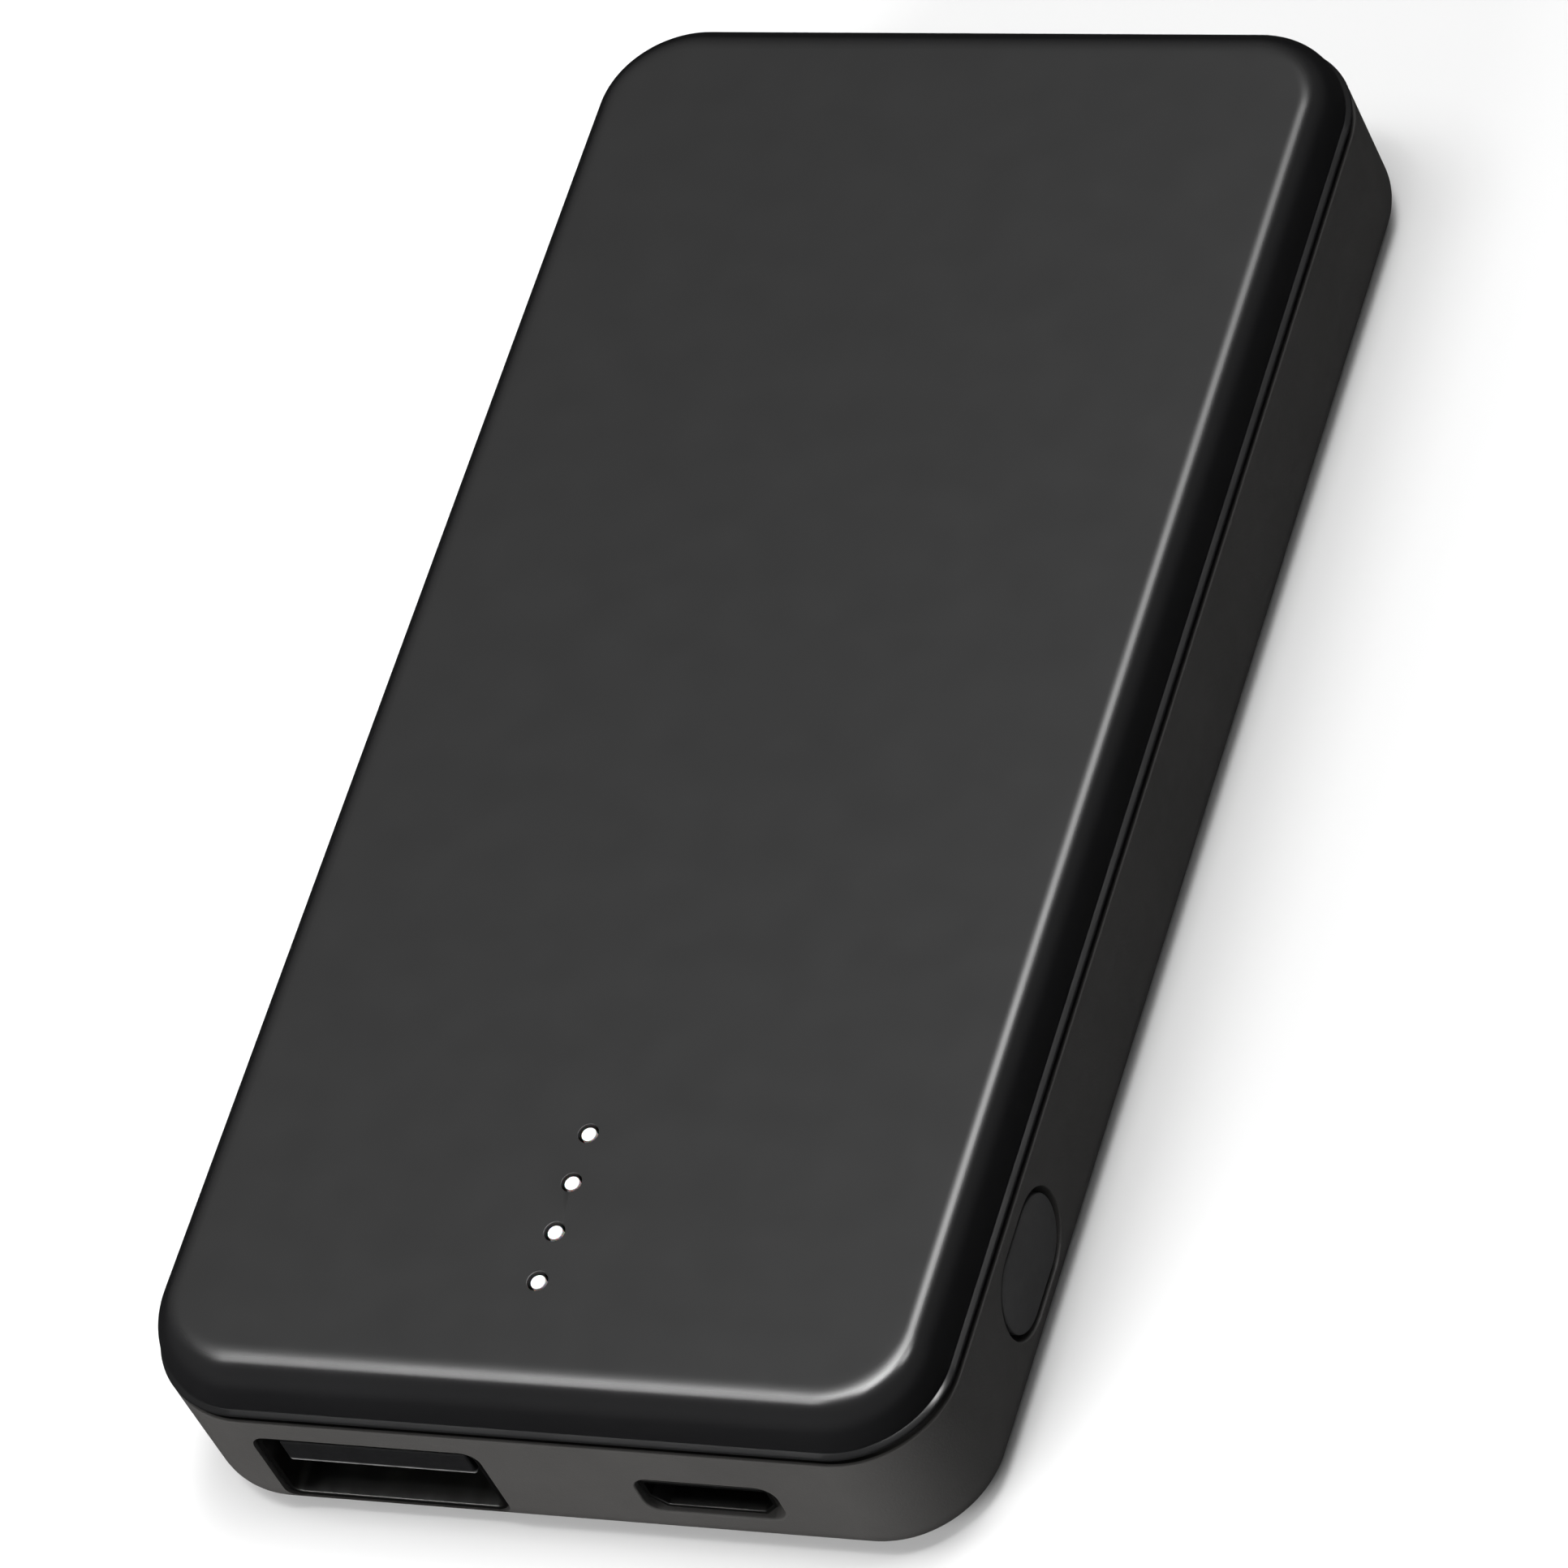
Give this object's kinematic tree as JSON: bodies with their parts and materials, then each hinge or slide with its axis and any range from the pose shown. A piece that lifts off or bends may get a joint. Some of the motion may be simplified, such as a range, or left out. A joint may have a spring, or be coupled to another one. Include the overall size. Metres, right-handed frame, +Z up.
{
  "type": "power bank",
  "caption": "Slim pocket power bank with a round-edged two-part case, side button, row of charge lights, and full-size and micro USB sockets on one end.",
  "frame": {"origin": "centre of the underside, on the surface that the power bank lies on", "axes": "+Y runs along the length, away from the sockets; +X points to the button side; +Z is up through the lights' face"},
  "size_m": [0.046, 0.0924, 0.0122],
  "materials": {
    "cover_plastic": "fine satin top with a glossy edge",
    "case_plastic": "matte, fine moulded texture",
    "button_plastic": "matte",
    "light_plastic": "milky, clear polished pin ends",
    "led_resin": "pale resin",
    "socket_steel": "nickel-plated sheet",
    "gold": "gold-plated",
    "insulator_plastic": "black moulding",
    "board_laminate": "green solder mask",
    "chip_resin": "moulded resin",
    "capacitor_ceramic": "bare ceramic with tinned ends",
    "ferrite": "sintered",
    "cell_pouch": "laminated foil",
    "nickel": "bright strip",
    "red_insulation": "smooth insulation",
    "black_insulation": "smooth insulation",
    "foam": "open foam",
    "tape": "double-sided adhesive",
    "screw_steel": "plain plated"
  },
  "bodies": {
    "case": {"bottom_case": "case_plastic", "top_cover": "cover_plastic", "usb_a_shield": "socket_steel", "usb_a_insulator": "insulator_plastic", "micro_usb_shell": "socket_steel", "micro_usb_insulator": "insulator_plastic", "light_guide": "light_plastic", "led_1": "led_resin", "led_2": "led_resin", "led_3": "led_resin", "led_4": "led_resin", "usb_a_contact_1": "gold", "usb_a_contact_2": "gold", "usb_a_contact_3": "gold", "usb_a_contact_4": "gold", "micro_usb_contact_1": "gold", "micro_usb_contact_2": "gold", "micro_usb_contact_3": "gold", "micro_usb_contact_4": "gold", "micro_usb_contact_5": "gold", "circuit_board": "board_laminate", "power_inductor": "ferrite", "charge_ic": "chip_resin", "boost_ic": "chip_resin", "capacitor_1": "capacitor_ceramic", "capacitor_2": "capacitor_ceramic", "capacitor_3": "capacitor_ceramic", "resistor_1": "chip_resin", "resistor_2": "chip_resin", "switch_body": "chip_resin", "battery_cell": "cell_pouch", "guard_board": "board_laminate", "cell_tab_positive": "nickel", "cell_tab_negative": "nickel", "positive_lead": "red_insulation", "negative_lead": "black_insulation", "foam_pad": "foam", "cell_tape": "tape", "board_screw_1": "screw_steel", "board_screw_2": "screw_steel"},
    "button": {"power_button": "button_plastic", "switch_plunger": "insulator_plastic"}
  },
  "joints": [
    {"name": "button_press", "type": "slide", "parent": "case", "child": "button", "axis": [-1, 0, 0], "range_m": [0, 0.0003], "stiffness_N_per_m": 2500, "springref_m": -0.0002}
  ]
}
